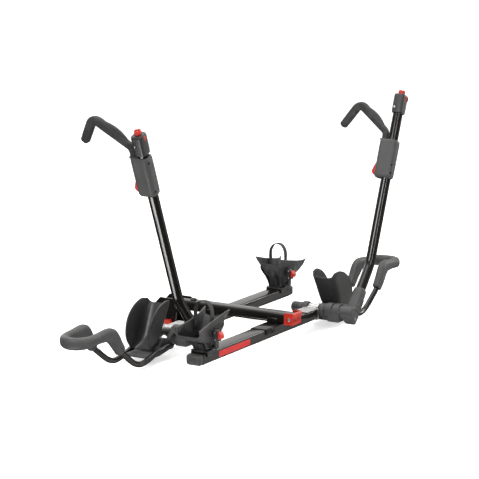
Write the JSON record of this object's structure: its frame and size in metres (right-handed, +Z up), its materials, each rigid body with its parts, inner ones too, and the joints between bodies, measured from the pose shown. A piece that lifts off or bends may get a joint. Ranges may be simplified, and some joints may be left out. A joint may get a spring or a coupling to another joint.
{
  "type": "hitch mounted bike rack",
  "caption": "Platform bike rack on a tilting spine, with folding front wheel trays, sliding hook arms and strapped rear wheel cradles.",
  "frame": {"origin": "middle of the shank's end face, the end that goes into the vehicle's receiver", "axes": "+X along the cross bars, +Y along the spine towards the vehicle, +Z up"},
  "size_m": [1.5486, 0.6561, 0.7714],
  "materials": {
    "black_paint": "satin black powder coat",
    "grey_plastic": "fine grained charcoal plastic",
    "black_plastic": "black moulded plastic",
    "red_plastic": "orange-red moulded plastic",
    "zinc_steel": "zinc plated steel",
    "black_rubber": "matt black rubber"
  },
  "bodies": {
    "hitch": {"tongue": "black_paint", "hitch_bracket": "black_paint", "pivot_bolt": "zinc_steel"},
    "hitch_knob": {"hitch_knob": "red_plastic"},
    "frame": {"spine": "black_paint", "spine_bolt": "black_paint", "lever_pin": "zinc_steel", "near_bar": "black_paint", "near_bar_cap": "grey_plastic", "near_saddle": "black_paint", "near_saddle_bolt_a": "black_paint", "near_saddle_bolt_b": "black_paint", "near_hinge_bracket": "zinc_steel", "near_fold_pin": "black_plastic", "far_bar": "black_paint", "far_bar_cap": "grey_plastic", "far_saddle": "black_paint", "far_saddle_bolt_a": "black_paint", "far_saddle_bolt_b": "black_paint", "far_hinge_bracket": "zinc_steel", "far_fold_pin": "black_plastic"},
    "tilt_lever": {"tilt_lever": "red_plastic"},
    "latch_rod": {"latch_rod": "zinc_steel"},
    "near_arm": {"near_arm_tube": "black_paint", "near_arm_hub": "grey_plastic", "near_lock_head": "black_plastic"},
    "near_slider": {"near_slider": "grey_plastic", "near_hook": "black_rubber"},
    "near_trigger": {"near_trigger": "red_plastic"},
    "near_lock_core": {"near_lock_core": "red_plastic"},
    "near_tray": {"near_tray_base": "grey_plastic", "near_paddle": "black_plastic", "near_hoop_rod": "black_paint", "near_hoop_cover": "grey_plastic"},
    "near_cradle": {"near_cradle_foot": "black_plastic", "near_cradle": "grey_plastic", "near_strap": "black_rubber", "near_buckle": "black_plastic"},
    "near_release_tab": {"near_release_tab": "red_plastic"},
    "far_arm": {"far_arm_tube": "black_paint", "far_arm_hub": "grey_plastic", "far_lock_head": "black_plastic"},
    "far_slider": {"far_slider": "grey_plastic", "far_hook": "black_rubber"},
    "far_trigger": {"far_trigger": "red_plastic"},
    "far_lock_core": {"far_lock_core": "red_plastic"},
    "far_tray": {"far_tray_base": "grey_plastic", "far_paddle": "black_plastic", "far_hoop_rod": "black_paint", "far_hoop_cover": "grey_plastic"},
    "far_cradle": {"far_cradle_foot": "black_plastic", "far_cradle": "grey_plastic", "far_strap": "black_rubber", "far_buckle": "black_plastic"},
    "far_release_tab": {"far_release_tab": "red_plastic"}
  },
  "joints": [
    {"name": "rack_tilt", "type": "hinge", "parent": "hitch", "child": "frame", "pos_m": [0, -0.165, 0.0585], "axis": [-1, 0, 0], "range_deg": [-30, 90]},
    {"name": "hitch_knob_turn", "type": "hinge", "parent": "hitch", "child": "hitch_knob", "pos_m": [-0.0317, -0.135, -0.002], "axis": [-1, 0, 0], "range_deg": [0, 720]},
    {"name": "tilt_lever_squeeze", "type": "hinge", "parent": "frame", "child": "tilt_lever", "pos_m": [0, -0.569, 0.0585], "axis": [-1, 0, 0], "range_deg": [0, 12]},
    {"name": "latch_pull", "type": "slide", "parent": "frame", "child": "latch_rod", "axis": [0, -1, 0], "range_m": [0, 0.005], "stiffness_N_per_m": 400, "springref_m": -0.01},
    {"name": "near_arm_fold", "type": "hinge", "parent": "frame", "child": "near_arm", "pos_m": [0.244, -0.51, 0.034], "axis": [0, -1, 0], "range_deg": [0, 100]},
    {"name": "near_hook_slide", "type": "slide", "parent": "near_arm", "child": "near_slider", "axis": [0.3684, 0, 0.9297], "range_m": [-0.19, 0.088]},
    {"name": "near_trigger_squeeze", "type": "hinge", "parent": "near_slider", "child": "near_trigger", "pos_m": [0.50652, -0.604, 0.4832], "axis": [-0.9297, 0, 0.3684], "range_deg": [0, 5], "stiffness_Nm_per_rad": 0.25, "springref_deg": -14.32},
    {"name": "near_lock_turn", "type": "hinge", "parent": "near_arm", "child": "near_lock_core", "pos_m": [0.59044, -0.635, 0.69497], "axis": [0.3684, 0, 0.9297], "range_deg": [0, 90]},
    {"name": "near_tray_fold", "type": "hinge", "parent": "frame", "child": "near_tray", "pos_m": [0.244, -0.51, 0.034], "axis": [0, -1, 0], "range_deg": [0, 80]},
    {"name": "near_cradle_slide", "type": "slide", "parent": "frame", "child": "near_cradle", "axis": [1, 0, 0], "range_m": [-0.013, 0.26]},
    {"name": "near_strap_release", "type": "hinge", "parent": "near_cradle", "child": "near_release_tab", "pos_m": [-0.43, -0.564, 0.102], "axis": [-1, 0, 0], "range_deg": [0, 25], "stiffness_Nm_per_rad": 0.03, "springref_deg": -22.92},
    {"name": "far_arm_fold", "type": "hinge", "parent": "frame", "child": "far_arm", "pos_m": [-0.244, -0.266, 0.034], "axis": [0, 1, 0], "range_deg": [0, 100]},
    {"name": "far_hook_slide", "type": "slide", "parent": "far_arm", "child": "far_slider", "axis": [-0.3684, 0, 0.9297], "range_m": [-0.272, 0.006]},
    {"name": "far_trigger_squeeze", "type": "hinge", "parent": "far_slider", "child": "far_trigger", "pos_m": [-0.53673, -0.36, 0.55943], "axis": [-0.9297, 0, -0.3684], "range_deg": [0, 5], "stiffness_Nm_per_rad": 0.25, "springref_deg": -14.32},
    {"name": "far_lock_turn", "type": "hinge", "parent": "far_arm", "child": "far_lock_core", "pos_m": [-0.59044, -0.391, 0.69497], "axis": [-0.3684, 0, 0.9297], "range_deg": [0, 90]},
    {"name": "far_tray_fold", "type": "hinge", "parent": "frame", "child": "far_tray", "pos_m": [-0.244, -0.266, 0.034], "axis": [0, 1, 0], "range_deg": [0, 80]},
    {"name": "far_cradle_slide", "type": "slide", "parent": "frame", "child": "far_cradle", "axis": [-1, 0, 0], "range_m": [-0.013, 0.26]},
    {"name": "far_strap_release", "type": "hinge", "parent": "far_cradle", "child": "far_release_tab", "pos_m": [0.43, -0.32, 0.102], "axis": [-1, 0, 0], "range_deg": [0, 25], "stiffness_Nm_per_rad": 0.03, "springref_deg": -22.92}
  ],
  "couplings": [
    {"joint": "tilt_lever_squeeze", "follows": "latch_pull", "rad_per_m": 41.8}
  ]
}
